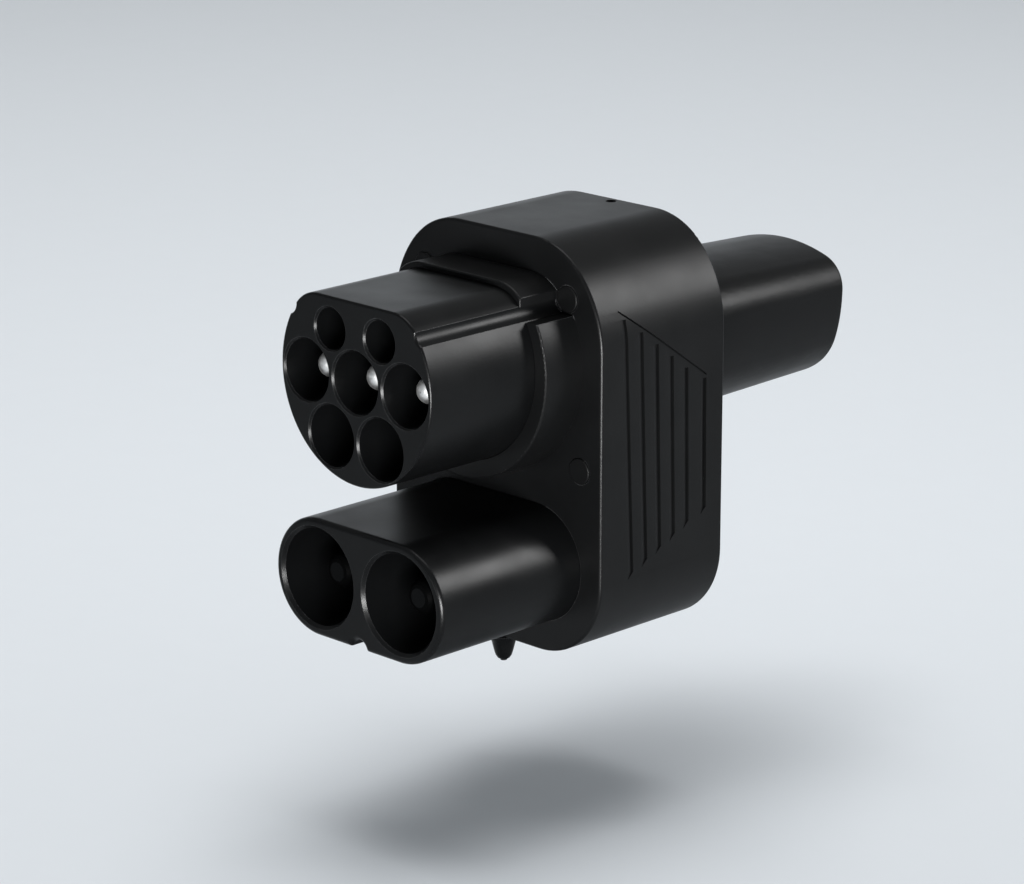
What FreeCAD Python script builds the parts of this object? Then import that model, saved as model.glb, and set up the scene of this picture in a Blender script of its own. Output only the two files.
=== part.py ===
import FreeCAD, Part
import math
import os

# Charging adapter. Millimetres. X runs across, Y from the charger's side to the car's side, Z up.
# The origin is where the axis of the car's plug leaves the rear face of the body.

V = FreeCAD.Vector

# Body
# Its sides, top and bottom are counted from the nose and the block, which need that much round them.
# Each top corner is drawn with two arcs: a wide one up from the side, then a tighter one to the top.
body_side = 9.5
body_over_nose = 28.2
body_under_block = 7.3
body_depth = 40.9
top_side_radius = 27.0
top_side_angle = 40.0
top_corner_radius = 20.0
bottom_corner_radius = 19.7
side_wall = 3.2
front_wall = 3.5
rear_rim = 2.0
front_edge_radius = 0.7
rear_edge_radius = 0.4

# Rear cover
cover_thickness = 4.0
cover_gap = 0.15
cover_edge = 0.3
seal_thickness = 0.8

# Charger side: the nose with seven wells. The wells' radius and the nose's come from the pitch and walls.
centre_height = 7.7
nose_length = 43.9
nose_wall = 1.1
nose_rise = 0.3
nose_flat = 18.45
nose_corner_radius = 9.0
nose_edge_radius = 0.6
nose_gap = 0.15
well_pitch = 16.0
signal_rise = 10.95
well_wall = 0.8
signal_well_radius = 4.8
well_depth = 38.8
well_chamfer = 0.45
flute_angle = 33.3
flute_width = 3.76
flute_depth = 0.65

# Flange that holds a nose behind the front wall, and the ring seal round the nose
flange_grow = 3.2
dc_flange_grow = 2.0
flange_thickness = 3.0
flange_gap = 0.6
ring_depth = 1.0
ring_width = 1.8

# Collar round the root of the nose
collar_length = 11.7
upper_collar_grow = 1.55
lower_collar_grow = 3.5
lower_collar_drop = 0.6
upper_collar_half = 19.6
lower_collar_top = 11.9
collar_edge_radius = 0.5
collar_end_radius = 0.35

# Charger side: the block with the two direct current wells
dc_pitch = 26.8
dc_drop = 48.5
dc_well_radius = 11.5
dc_wall = 2.5
dc_lip_radius = 1.2
dc_mouth_chamfer = 0.75
dc_notch_radius = 2.6
dc_notch_height = 2.2
dc_notch_edge = 0.6

# Pins
power_pin_radius = 3.0
power_pin_recess = 4.9
signal_pin_radius = 1.5
signal_pin_recess = 9.0
pin_root_step = 0.4
pin_collar_radius = 4.6
pin_collar_length = 5.6
signal_collar_radius = 2.6
power_tail_radius = 2.0
signal_tail_radius = 0.9
dc_pin_radius = 4.0
dc_root_step = 0.5
dc_tail_radius = 3.6
dc_tip_recess = 6.1
dc_cap_length = 5.0
dc_cap_flat = 2.05
dc_cap_spigot_radius = 2.0
dc_cap_spigot_length = 3.0
dc_collar_radius = 7.0
dc_collar_length = 7.6
dc_stud_radius = 3.0
contact_gap = 0.1

# Plate that traps the pins
retainer_thickness = 3.0
retainer_gap = 0.4

# Copper links behind the pins
bar_thickness = 3.0
bar_stand_off = 7.4
bar_top_radius = 5.5
bar_bottom_radius = 7.0
link_thickness = 1.5
link_radius = 4.6
earth_link_radius = 3.8
earth_link_stand_off = 0.6
dc_nut_across = 10.0
dc_nut_height = 5.0
socket_nut_across = 8.0
socket_nut_height = 3.6
socket_stud_radius = 2.5

# Car side: the plug. Its outline is a crown, two shoulders, two long sides, two heels and a round
# underside. The angles of the sides and heels are counted from the middle of the top. The end is the
# smallest section: towards the body the outline grows by the draft and moves up by the rise.
plug_length = 60
plug_width = 39
plug_top = 17.15
plug_top_radius = 41.9
plug_shoulder_radius = 8.2
plug_side_radius = 41.5
plug_side_angle = 107.2
plug_heel_radius = 14.8
plug_heel_angle = 141.4
plug_draft = 1.8
plug_rise = 0.55
plug_wall = 2.8
plug_end_wall = 3.0
plug_edge_radius = 1.4
plug_flange_grow = 4.2
plug_flange_thickness = 3.5
lock_slot_width = 10.0
lock_slot_length = 9.0
lock_slot_depth = 1.6
lock_slot_start = 13.0

# Car side: contact sockets
power_socket_margin = 2.7
power_socket_drop = 1.6
earth_socket_margin = 1.2
signal_socket_rise = 1.0
power_bore_radius = 4.0
power_socket_wall = 1.4
earth_bore_radius = 3.0
earth_socket_wall = 1.1
signal_bore_radius = 1.5
signal_socket_wall = 0.8
mouth_clearance = 0.6
socket_bore_depth = 30.0
socket_slot = 0.8
signal_socket_slot = 0.5
socket_slot_length = 14.0
socket_collar_step = 0.7
signal_collar_step = 0.5
socket_collar_length = 5.5
socket_tail_radius = 4.0
earth_tail_radius = 2.4
socket_plate_thickness = 3.0

# Signal board
board_thickness = 1.6
chip_height = 0.9
board_half_width = 13.0
board_margin = 3.2
board_hole_gap = 0.6

# Fasteners
upper_screw_stand_off = 0.28
upper_screw_angle = 33.28
lower_screw_inset = 6.7
lower_screw_height = -24.0
pillar_radius = 4.3
boss_length = 4.0
screw_radius = 1.5
screw_head_radius = 2.75
screw_head_height = 2.4
screw_bite = 6.5
screw_plug_radius = 3.05
screw_plug_depth = 1.0
screw_plug_proud = 0.4
screw_plug_edge = 0.25
small_screw_radius = 1.2
small_head_radius = 2.1
small_head_height = 1.8
small_screw_bite = 6.0
small_boss_radius = 2.6
top_boss_drop = 2.2
middle_boss_across = 17.0
middle_boss_height = -28.5
screw_gap = 0.1

# Grip steps on both sides
grip_steps = 6
grip_first = 10.9
grip_pitch = 4.65
grip_last_gap = 1.2
grip_first_lean = 2.3
grip_last_lean = 0.4
grip_first_depth = 0.5
grip_last_depth = 0.62
grip_run = 1.9
grip_top = 10.95
grip_top_fall = 3.67
grip_bottom = -48.8
grip_bottom_rise = 2.05
grip_end_slope = 0.9
grip_line_depth = 0.35
grip_line_width = 0.5
grip_line_rise = 0.5
grip_line_lead = 1.8

# Drain spout under the front, and the screw that locks the cover
spout_length = 6.7
spout_root_radius = 3.5
spout_tip_radius = 2.1
spout_bore = 0.8
spout_peg_radius = 1.5
spout_peg_length = 2.4
spout_setback = 2.7
lock_hole_radius = 1.3
lock_setback = 2.6
lock_recess = 0.6
lock_dimple = 1.0

# Places worked out from the sizes above
front_y = -body_depth
wall_back_y = front_y + front_wall
face_y = front_y - nose_length
insert_back_y = wall_back_y + flange_thickness
retainer_back_y = insert_back_y + retainer_thickness
well_floor_y = face_y + well_depth
bar_front_y = retainer_back_y + bar_stand_off
bar_back_y = bar_front_y + bar_thickness
cover_inner_y = -cover_thickness
ledge_y = cover_inner_y - seal_thickness
plug_flange_y = cover_inner_y - plug_flange_thickness
socket_plate_y = plug_flange_y - socket_plate_thickness
board_front_y = (bar_back_y + socket_plate_y - small_head_height - board_thickness - chip_height) / 2
plug_end_y = plug_length
carrier_end_y = plug_end_y - plug_end_wall
row_drop = well_pitch * math.sin(math.radians(60))
dc_height = centre_height - dc_drop
dc_outer_radius = dc_well_radius + dc_wall
body_top = centre_height + body_over_nose
body_bottom = dc_height - dc_outer_radius - body_under_block
power_well_radius = well_pitch / 2 - well_wall
nose_radius = well_pitch + power_well_radius + nose_wall
half_width = nose_radius + body_side
bar_link_front_y = bar_front_y - link_thickness
corner_step = top_side_radius - top_corner_radius
upper_corner_z = body_top - top_corner_radius - corner_step * math.sin(math.radians(top_side_angle))
collar_height = centre_height - lower_collar_drop
far = 200.0

# The plug's crown ends where its tangent shoulder reaches the plug's half width.
plug_half = plug_width / 2
crown_step = plug_top_radius - plug_shoulder_radius
plug_top_angle = math.degrees(math.asin((plug_half - plug_shoulder_radius) / crown_step))
plug_wide_z = plug_top - plug_top_radius + crown_step * math.cos(math.radians(plug_top_angle))

power_spots = [(-well_pitch, centre_height), (0.0, centre_height), (well_pitch, centre_height)]
empty_spots = [(-well_pitch / 2, centre_height - row_drop), (well_pitch / 2, centre_height - row_drop)]
signal_spots = [(-well_pitch / 2, centre_height + signal_rise), (well_pitch / 2, centre_height + signal_rise)]
dc_spots = [(-dc_pitch / 2, dc_height), (dc_pitch / 2, dc_height)]
screw_reach = nose_radius + screw_plug_radius + upper_screw_stand_off
upper_screw_x = screw_reach * math.cos(math.radians(upper_screw_angle))
upper_screw_z = centre_height + nose_rise + screw_reach * math.sin(math.radians(upper_screw_angle))
lower_screw_x = half_width - lower_screw_inset
upper_screws = [(side * upper_screw_x, upper_screw_z) for side in (-1, 1)]
lower_screws = [(side * lower_screw_x, centre_height + lower_screw_height) for side in (-1, 1)]
screw_spots = upper_screws + lower_screws
boss_spots = [(0.0, body_top - side_wall - top_boss_drop),
              (-middle_boss_across, centre_height + middle_boss_height),
              (middle_boss_across, centre_height + middle_boss_height)]
dc_screw_spots = [(0.0, dc_height + dc_well_radius - small_head_radius),
                  (0.0, dc_height - dc_well_radius + small_head_radius)]


def line(a, b):
    """Straight edge between two (x, z) points of the XZ plane."""
    return Part.LineSegment(V(a[0], 0, a[1]), V(b[0], 0, b[1])).toShape()


def arc(a, b, c):
    """Arc through three (x, z) points of the XZ plane."""
    return Part.Arc(V(a[0], 0, a[1]), V(b[0], 0, b[1]), V(c[0], 0, c[1])).toShape()


def on_circle(centre, radius, degrees):
    """Point of a circle, the angle counted from +X towards +Z."""
    angle = math.radians(degrees)
    return (centre[0] + radius * math.cos(angle), centre[1] + radius * math.sin(angle))


def prism(edges, y0, y1):
    """Solid of a closed outline between two stations along Y."""
    face = Part.Face(Part.Wire(edges))
    face.translate(V(0, y0, 0))
    return face.extrude(V(0, y1 - y0, 0))


def rod(spot, radius, y0, y1):
    """Round bar along Y at an (x, z) spot."""
    return Part.makeCylinder(radius, y1 - y0, V(spot[0], y0, spot[1]), V(0, 1, 0))


def turned(spot, points):
    """Solid turned about Y at an (x, z) spot from (y, radius) points that close on the axis."""
    corners = [V(spot[0] + radius, y, spot[1]) for y, radius in points]
    face = Part.Face(Part.makePolygon(corners + [corners[0]]))
    return face.revolve(V(spot[0], 0, spot[1]), V(0, 1, 0), 360)


def slab(x0, x1, y0, y1, z0, z1):
    """Box between two corners."""
    return Part.makeBox(x1 - x0, y1 - y0, z1 - z0, V(x0, y0, z0))


def edges_at(shape, y, inside=None):
    """Edges that lie whole in the plane at y, and, where a test is given, whose middle passes it."""
    found = []
    for edge in shape.Edges:
        box = edge.BoundBox
        if abs(box.YMin - y) > 1e-4 or abs(box.YMax - y) > 1e-4:
            continue
        if inside is None or inside(box.Center):
            found.append(edge)
    return found


def body_outline(inset):
    """Tall rounded rectangle of the body, drawn in by an inset."""
    x = half_width - inset
    top = body_top - inset
    bottom = body_bottom + inset
    r = top_side_radius - inset
    t = top_corner_radius - inset
    s = bottom_corner_radius - inset
    half = top_side_angle / 2
    side = (half_width - top_side_radius, upper_corner_z)
    corner = on_circle(side, corner_step, top_side_angle)
    low = (x - s, bottom + s)
    right = [arc((x - s, bottom), on_circle(low, s, 315), (x, bottom + s)),
             line((x, bottom + s), (x, upper_corner_z)),
             arc((x, upper_corner_z), on_circle(side, r, half), on_circle(side, r, top_side_angle)),
             arc(on_circle(corner, t, top_side_angle), on_circle(corner, t, 45 + half), (corner[0], top))]
    left = [mirrored(edge) for edge in reversed(right)]
    top_line = line((corner[0], top), (-corner[0], top))
    bottom_line = line((s - x, bottom), (x - s, bottom))
    return right + [top_line] + left + [bottom_line]


def nose_outline(grow):
    """Circle with a flat top and rounded shoulders, a little above the centre well."""
    r = nose_radius + grow
    f = nose_corner_radius + grow
    c = centre_height + nose_rise
    top = centre_height + nose_flat + grow
    height = top - f - c
    x = math.sqrt((r - f) ** 2 - height ** 2)
    slope = math.degrees(math.atan2(height, x))
    middle = (slope + 90) / 2
    right = (x, top - f)
    left = (-x, top - f)
    right_low = on_circle((0, c), r, slope)
    left_low = on_circle((0, c), r, 180 - slope)
    return [line((x, top), (-x, top)),
            arc((-x, top), on_circle(left, f, 180 - middle), left_low),
            arc(left_low, (0, c - r), right_low),
            arc(right_low, on_circle(right, f, middle), (x, top))]


def dc_outline(grow):
    """Stadium round the two direct current wells."""
    r = dc_outer_radius + grow
    x = dc_pitch / 2
    return [line((x, dc_height + r), (-x, dc_height + r)),
            arc((-x, dc_height + r), (-x - r, dc_height), (-x, dc_height - r)),
            line((-x, dc_height - r), (x, dc_height - r)),
            arc((x, dc_height - r), (x + r, dc_height), (x, dc_height + r))]


def plug_arcs(inset):
    """Radius, start and end angle of each arc of the plug's right half, from the middle of the top."""
    arcs = [(plug_top_radius - inset, 0.0, plug_top_angle),
            (plug_shoulder_radius - inset, plug_top_angle, 90.0),
            (plug_side_radius - inset, 90.0, plug_side_angle),
            (plug_heel_radius - inset, plug_side_angle, plug_heel_angle)]
    x = sum(r * (math.sin(math.radians(b)) - math.sin(math.radians(a))) for r, a, b in arcs)
    arcs.append((x / math.sin(math.radians(plug_heel_angle)), plug_heel_angle, 180.0))
    return arcs


def plug_outline(inset, rise=0.0):
    """Rounded shield of the car's plug, drawn in by an inset and moved up by a rise."""
    point = (0.0, plug_top - inset + rise)
    right = []
    for r, start, end in plug_arcs(inset):
        centre = (point[0] - r * math.sin(math.radians(start)), point[1] - r * math.cos(math.radians(start)))
        stop = on_circle(centre, r, 90 - end)
        right.append(arc(point, on_circle(centre, r, 90 - (start + end) / 2), stop))
        point = stop
    return right + [mirrored(edge) for edge in reversed(right)]


def plug_low(inset):
    """Height of the plug's lowest point."""
    fall = sum(r * (math.cos(math.radians(a)) - math.cos(math.radians(b))) for r, a, b in plug_arcs(inset))
    return plug_top - inset - fall


def strap_outline(low, low_radius, high, high_radius):
    """Two round ends joined by their outer tangents, as on a flat link."""
    dx = high[0] - low[0]
    dz = high[1] - low[1]
    length = math.hypot(dx, dz)
    heading = math.degrees(math.atan2(dz, dx))
    lean = math.degrees(math.acos((low_radius - high_radius) / length))
    low_right = on_circle(low, low_radius, heading - lean)
    low_left = on_circle(low, low_radius, heading + lean)
    high_right = on_circle(high, high_radius, heading - lean)
    high_left = on_circle(high, high_radius, heading + lean)
    return [line(low_right, high_right),
            arc(high_right, on_circle(high, high_radius, heading), high_left),
            line(high_left, low_left),
            arc(low_left, on_circle(low, low_radius, heading + 180), low_right)]


def hex_outline(spot, across):
    """Hexagon with two flats facing left and right."""
    r = across / math.sqrt(3)
    corners = [on_circle(spot, r, 30 + 60 * i) for i in range(6)]
    return [line(corners[i], corners[(i + 1) % 6]) for i in range(6)]


def mirrored(shape):
    """The same shape on the other side of the middle plane."""
    return shape.mirror(V(0, 0, 0), V(1, 0, 0))


def on_collar_end(edge, y_end):
    """Tells the upper and front edges of the upper collar's end faces."""
    box = edge.BoundBox
    at_end = box.XLength < 0.01 and abs(box.XMin) > upper_collar_half - 0.01
    return at_end and box.ZMax > centre_height + 1 and box.YMin < y_end - 0.01


def collar():
    """Raised rim round the nose's root, open at both flutes: a low upper part and a deeper lower part."""
    y0 = front_y - collar_length
    y1 = front_y + front_wall / 2
    upper = prism(nose_outline(upper_collar_grow), y0, y1)
    upper = upper.makeFillet(collar_edge_radius, edges_at(upper, y0))
    upper = upper.common(slab(-upper_collar_half, upper_collar_half, y0, y1, centre_height, far))
    ends = [edge for edge in upper.Edges if on_collar_end(edge, y1)]
    upper = upper.makeFillet(collar_end_radius, ends)
    lower = rod((0, collar_height), nose_radius + lower_collar_grow, y0, y1)
    lower = lower.makeFillet(collar_edge_radius, edges_at(lower, y0))
    lower = lower.common(slab(-far, far, y0, y1, -far, centre_height + lower_collar_top))
    return upper.fuse(lower)


def grip_place(index):
    """A grip step's upper end, how far its lower end leans to the rear, and its share of the row."""
    share = index / (grip_steps - 1)
    lean = grip_first_lean + (grip_last_lean - grip_first_lean) * share
    y = front_y + grip_first + index * grip_pitch - lean
    if index == grip_steps - 1:
        y += grip_last_gap
    return y, centre_height + grip_top - index * grip_top_fall, lean, share


def grip_step(index):
    """Cutter of one grip step on the right side: a ramp that ends in a small wall at the rear."""
    y_top, z_top, lean, share = grip_place(index)
    z_low = centre_height + grip_bottom + index * grip_bottom_rise
    z_turn = min(z_top, upper_corner_z)
    depth = grip_first_depth + (grip_last_depth - grip_first_depth) * share

    def ramp(y, z, slope):
        points = [V(half_width, y - grip_run, z - grip_run * slope),
                  V(half_width + 1, y - grip_run, z - grip_run * slope),
                  V(half_width + 1, y, z), V(half_width - depth, y, z)]
        return Part.makePolygon(points + [points[0]])

    cutter = Part.makeLoft([ramp(y_top + lean, z_low, grip_end_slope), ramp(y_top, z_turn, 0)], True, True)
    if z_top > upper_corner_z:
        angle = math.degrees(math.asin((z_top - upper_corner_z) / top_side_radius))
        centre = V(half_width - top_side_radius, 0, upper_corner_z)
        bend = Part.Face(ramp(y_top, z_turn, 0)).revolve(centre, V(0, -1, 0), angle)
        cutter = cutter.fuse(bend)
    return cutter


def grip_line():
    """Cutter of the thin slanting line above the grip steps, which follows the body's surface."""
    first_y, first_z = grip_place(0)[:2]
    y1, last_z = grip_place(grip_steps - 1)[:2]
    fall = (first_z - last_z) / (y1 - first_y)
    y0 = first_y - grip_line_lead
    z0 = first_z + grip_line_rise + grip_line_lead * fall
    z1 = last_z + grip_line_rise
    corners = [V(0, y0, z0), V(0, y1, z1), V(0, y1, z1 + grip_line_width), V(0, y0, z0 + grip_line_width)]
    band = Part.Face(Part.makePolygon(corners + [corners[0]])).extrude(V(far, 0, 0))
    skin = prism(body_outline(-1), front_y, 0).cut(prism(body_outline(grip_line_depth), front_y, 0))
    return band.common(skin)


def main_housing():
    """Body moulding: front wall, sides, collar, screw pillars and grips, open at the rear."""
    outer = prism(body_outline(0), front_y, 0)
    outer = outer.makeFillet(front_edge_radius, edges_at(outer, front_y))
    outer = outer.makeFillet(rear_edge_radius, edges_at(outer, 0))
    shell = outer.cut(prism(body_outline(side_wall), wall_back_y, ledge_y))
    shell = shell.cut(prism(body_outline(rear_rim), ledge_y, 1))
    core = prism(body_outline(side_wall / 2), front_y + front_wall / 2, ledge_y)
    pillars = [rod(spot, pillar_radius, front_y + front_wall / 2, cover_inner_y - boss_length)
               for spot in screw_spots]
    bosses = [rod(spot, small_boss_radius, front_y + front_wall / 2, insert_back_y) for spot in boss_spots]
    for post in pillars + bosses:
        shell = shell.fuse(post.common(core))
    shell = shell.fuse(collar())
    holes = [prism(nose_outline(nose_gap), front_y - collar_length - 1, insert_back_y),
             prism(dc_outline(nose_gap), front_y - 1, insert_back_y)]
    for spot in screw_spots:
        head_y = front_y + screw_plug_depth
        holes.append(rod(spot, screw_plug_radius + screw_gap, front_y - 1, head_y))
        holes.append(rod(spot, screw_head_radius + screw_gap, head_y, head_y + screw_head_height))
        holes.append(rod(spot, screw_radius + screw_gap, head_y, cover_inner_y))
    screw_end_y = insert_back_y - small_screw_bite + retainer_thickness
    for spot in boss_spots:
        holes.append(rod(spot, small_screw_radius, screw_end_y, far))
    peg_place = V(0, front_y + spout_setback, body_bottom)
    holes.append(Part.makeCylinder(spout_peg_radius, spout_peg_length, peg_place))
    lock_place = V(0, -lock_setback, body_top - side_wall)
    holes.append(Part.makeCylinder(lock_hole_radius, 2 * side_wall, lock_place))
    shell = shell.cut(holes)
    for index in range(grip_steps):
        cutter = grip_step(index)
        shell = shell.cut([cutter, mirrored(cutter)])
    return shell.cut([grip_line(), mirrored(grip_line())])


def rear_cover():
    """Plate that closes the body's rear, with the plug's opening and four screw bosses."""
    plate = prism(body_outline(rear_rim + cover_gap), cover_inner_y, 0)
    plate = plate.makeChamfer(cover_edge, edges_at(plate, 0))
    boss_y = cover_inner_y - boss_length
    inside = prism(body_outline(side_wall + cover_gap), boss_y, cover_inner_y)
    for spot in screw_spots:
        boss = rod(spot, screw_head_radius + screw_gap, boss_y, cover_inner_y)
        plate = plate.fuse(boss.common(inside))
    holes = [prism(plug_outline(-plug_draft - cover_gap, plug_rise), cover_inner_y - 1, 1)]
    for spot in screw_spots:
        holes.append(rod(spot, screw_radius, boss_y - 1, boss_y + screw_bite))
    for spot in plug_screw_spots():
        holes.append(rod(spot, small_screw_radius, cover_inner_y - 1, cover_inner_y + cover_thickness / 2))
    dimple_top = body_top - rear_rim - cover_gap - lock_dimple
    holes.append(Part.makeCylinder(lock_hole_radius, far, V(0, -lock_setback, dimple_top)))
    return plate.cut(holes)


def cover_seal():
    """Flat gasket between the rear cover and the ledge inside the body's rim."""
    outer = prism(body_outline(rear_rim + cover_gap), ledge_y, cover_inner_y)
    return outer.cut(prism(body_outline(side_wall), ledge_y - 1, cover_inner_y + 1))


def flute():
    """Cutter of the shallow channel along the right flank of the nose, as far as the body."""
    radius = (flute_width ** 2 / 4 + flute_depth ** 2) / (2 * flute_depth)
    spot = on_circle((0, centre_height + nose_rise), nose_radius - flute_depth + radius, flute_angle)
    return rod(spot, radius, face_y - 1, front_y)


def nose_body(y0):
    """Outside of the nose from y0 to its flange, with both channels."""
    body = prism(nose_outline(0), y0, wall_back_y)
    return body.cut([flute(), mirrored(flute())])


def inner_flange(outline, grow):
    """Flange behind the front wall, kept clear of the body's sides."""
    flange = prism(outline(grow), wall_back_y, insert_back_y)
    return flange.common(prism(body_outline(side_wall + flange_gap), wall_back_y, insert_back_y))


def ring_groove(outline):
    """Cutter of the ring seal's groove, half way through the front wall."""
    y = front_y + (front_wall - ring_width) / 2
    return prism(outline(1), y, y + ring_width).cut(prism(outline(-ring_depth), y, y + ring_width))


def well_cutter(spot, radius, chamfer):
    """Cutter of a well that runs through a front part, with a chamfered mouth."""
    return turned(spot, [(face_y - 1, 0), (face_y - 1, radius + chamfer + 1), (face_y + chamfer, radius),
                         (well_floor_y + 1, radius), (well_floor_y + 1, 0)])


def seven_well_insert():
    """Front part of the nose, with seven wells that end on the pin block behind it."""
    nose = nose_body(face_y).common(slab(-far, far, face_y, well_floor_y, -far, far))
    nose = nose.makeFillet(nose_edge_radius, edges_at(nose, face_y))
    wells = [well_cutter(spot, power_well_radius, well_chamfer) for spot in power_spots + empty_spots]
    wells += [well_cutter(spot, signal_well_radius, well_chamfer) for spot in signal_spots]
    return nose.cut(wells)


def seven_pin_block():
    """Rear part of the nose: floor of the wells, pin seats, ring groove and flange."""
    block = nose_body(well_floor_y).fuse(inner_flange(nose_outline, flange_grow))
    holes = [ring_groove(nose_outline)]
    collar_y = insert_back_y - pin_collar_length
    for spot in power_spots:
        root = power_pin_radius + pin_root_step + contact_gap
        holes.append(rod(spot, root, well_floor_y - 1, insert_back_y))
        holes.append(rod(spot, pin_collar_radius + contact_gap, collar_y, insert_back_y + 1))
    for spot in signal_spots:
        root = signal_pin_radius + pin_root_step + contact_gap
        holes.append(rod(spot, root, well_floor_y - 1, insert_back_y))
        holes.append(rod(spot, signal_collar_radius + contact_gap, collar_y, insert_back_y + 1))
    for spot in screw_spots:
        holes.append(rod(spot, pillar_radius + retainer_gap, wall_back_y, insert_back_y + 1))
    for spot in boss_spots:
        holes.append(rod(spot, small_boss_radius + retainer_gap, wall_back_y, insert_back_y + 1))
    return block.cut(holes)


def ring_seal(outline):
    """Rubber ring in the groove of a nose, which closes the gap to the front wall."""
    y = front_y + (front_wall - ring_width) / 2
    ring = prism(outline(nose_gap), y, y + ring_width)
    return ring.cut(prism(outline(-ring_depth), y - 1, y + ring_width + 1))


def insert_seal():
    """Ring seal of the nose with seven wells."""
    return ring_seal(nose_outline)


def dc_body(y0):
    """Outside of the direct current block from y0 to its flange, with the notch below."""
    body = prism(dc_outline(0), y0, wall_back_y)
    low = dc_height - dc_outer_radius
    body = body.cut(rod((0, low + dc_notch_height - dc_notch_radius), dc_notch_radius, y0 - 1, front_y))
    edges = []
    for edge in body.Edges:
        box = edge.BoundBox
        along = box.YLength > 1 and box.XLength < 1e-4 and box.ZLength < 1e-4
        if along and abs(box.ZMax - low) < 1e-4 and abs(box.XMin) < dc_notch_radius + 1e-4:
            edges.append(edge)
    return body.makeFillet(dc_notch_edge, edges)


def dc_well_insert():
    """Front part of the block, with two wells that end on the pin block behind it."""
    block = dc_body(face_y).common(slab(-far, far, face_y, well_floor_y, -far, far))
    block = block.makeFillet(dc_lip_radius, edges_at(block, face_y))
    return block.cut([well_cutter(spot, dc_well_radius, dc_mouth_chamfer) for spot in dc_spots])


def dc_pin_block():
    """Rear part of the block: floor of the wells, pin seats, ring groove and flange."""
    block = dc_body(well_floor_y).fuse(inner_flange(dc_outline, dc_flange_grow))
    holes = [ring_groove(dc_outline)]
    collar_y = insert_back_y - dc_collar_length
    for spot in dc_spots:
        root = dc_pin_radius + dc_root_step + contact_gap
        holes.append(rod(spot, root, well_floor_y - 1, insert_back_y))
        holes.append(rod(spot, dc_collar_radius + contact_gap, collar_y, insert_back_y + 1))
    screw_end_y = insert_back_y - small_screw_bite + retainer_thickness
    for spot in dc_screw_spots:
        holes.append(rod(spot, small_screw_radius, screw_end_y, far))
    return block.cut(holes)


def dc_seal():
    """Ring seal of the direct current block."""
    return ring_seal(dc_outline)


def domed(y, radius, rise):
    """Points of a rounded tip that starts on the axis at y and grows to the radius over the rise."""
    turns = [0, 18, 36, 54, 72, 90]
    return [(y + rise * (1 - math.cos(math.radians(t))), radius * math.sin(math.radians(t))) for t in turns]


def round_pin(spot, radius, recess, collar_radius, tail_radius, tail_y):
    """Pin with a domed tip, a thicker root in the pin block, a trapped collar and a tail."""
    collar_y = insert_back_y - pin_collar_length
    root = radius + pin_root_step
    points = domed(face_y + recess, radius, radius * 0.8)
    points += [(well_floor_y, radius), (well_floor_y, root), (collar_y, root), (collar_y, collar_radius),
               (insert_back_y, collar_radius), (insert_back_y, tail_radius),
               (tail_y, tail_radius), (tail_y, 0)]
    return turned(spot, points)


def neutral_pin():
    """Left pin of the middle row."""
    return round_pin(power_spots[0], power_pin_radius, power_pin_recess, pin_collar_radius,
                     power_tail_radius, bar_front_y)


def earth_pin():
    """Middle pin of the middle row."""
    tail_y = retainer_back_y + earth_link_stand_off + link_thickness
    return round_pin(power_spots[1], power_pin_radius, power_pin_recess, pin_collar_radius,
                     power_tail_radius, tail_y)


def line_pin():
    """Right pin of the middle row."""
    return round_pin(power_spots[2], power_pin_radius, power_pin_recess, pin_collar_radius,
                     power_tail_radius, bar_front_y)


def pilot_pin():
    """Left signal pin, whose tail reaches the board."""
    return round_pin(signal_spots[0], signal_pin_radius, signal_pin_recess, signal_collar_radius,
                     signal_tail_radius, board_front_y + board_thickness)


def proximity_pin():
    """Right signal pin, whose tail reaches the board."""
    return round_pin(signal_spots[1], signal_pin_radius, signal_pin_recess, signal_collar_radius,
                     signal_tail_radius, board_front_y + board_thickness)


def dc_pin(spot):
    """Thick pin: seat for the tip cap, shaft, root, trapped collar, tail and stud."""
    shaft_y = face_y + dc_tip_recess + dc_cap_length
    collar_y = insert_back_y - dc_collar_length
    stud_y = bar_back_y + dc_nut_height + 1
    spigot = dc_cap_spigot_radius + contact_gap / 2
    root = dc_pin_radius + dc_root_step
    return turned(spot, [(shaft_y + dc_cap_spigot_length, 0), (shaft_y + dc_cap_spigot_length, spigot),
                         (shaft_y, spigot), (shaft_y, dc_pin_radius), (well_floor_y, dc_pin_radius),
                         (well_floor_y, root), (collar_y, root), (collar_y, dc_collar_radius),
                         (insert_back_y, dc_collar_radius), (insert_back_y, dc_tail_radius),
                         (bar_front_y, dc_tail_radius), (bar_front_y, dc_stud_radius),
                         (stud_y, dc_stud_radius), (stud_y, 0)])


def dc_pin_negative():
    """Left thick pin."""
    return dc_pin(dc_spots[0])


def dc_pin_positive():
    """Right thick pin."""
    return dc_pin(dc_spots[1])


def dc_tip_cap(spot):
    """Insulating cap on a thick pin's tip, with a small flat end and a spigot in the pin."""
    tip_y = face_y + dc_tip_recess
    shaft_y = tip_y + dc_cap_length
    spigot_y = shaft_y + dc_cap_spigot_length
    rise = dc_pin_radius - dc_cap_flat
    points = [(tip_y, 0)]
    for degrees in (90, 60, 30, 0):
        turn = math.radians(degrees)
        points.append((tip_y + rise * (1 - math.sin(turn)), dc_cap_flat + rise * math.cos(turn)))
    points += [(shaft_y, dc_pin_radius), (shaft_y, dc_cap_spigot_radius), (spigot_y, dc_cap_spigot_radius),
               (spigot_y, 0)]
    return turned(spot, points)


def dc_tip_cap_negative():
    """Cap of the left thick pin."""
    return dc_tip_cap(dc_spots[0])


def dc_tip_cap_positive():
    """Cap of the right thick pin."""
    return dc_tip_cap(dc_spots[1])


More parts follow.
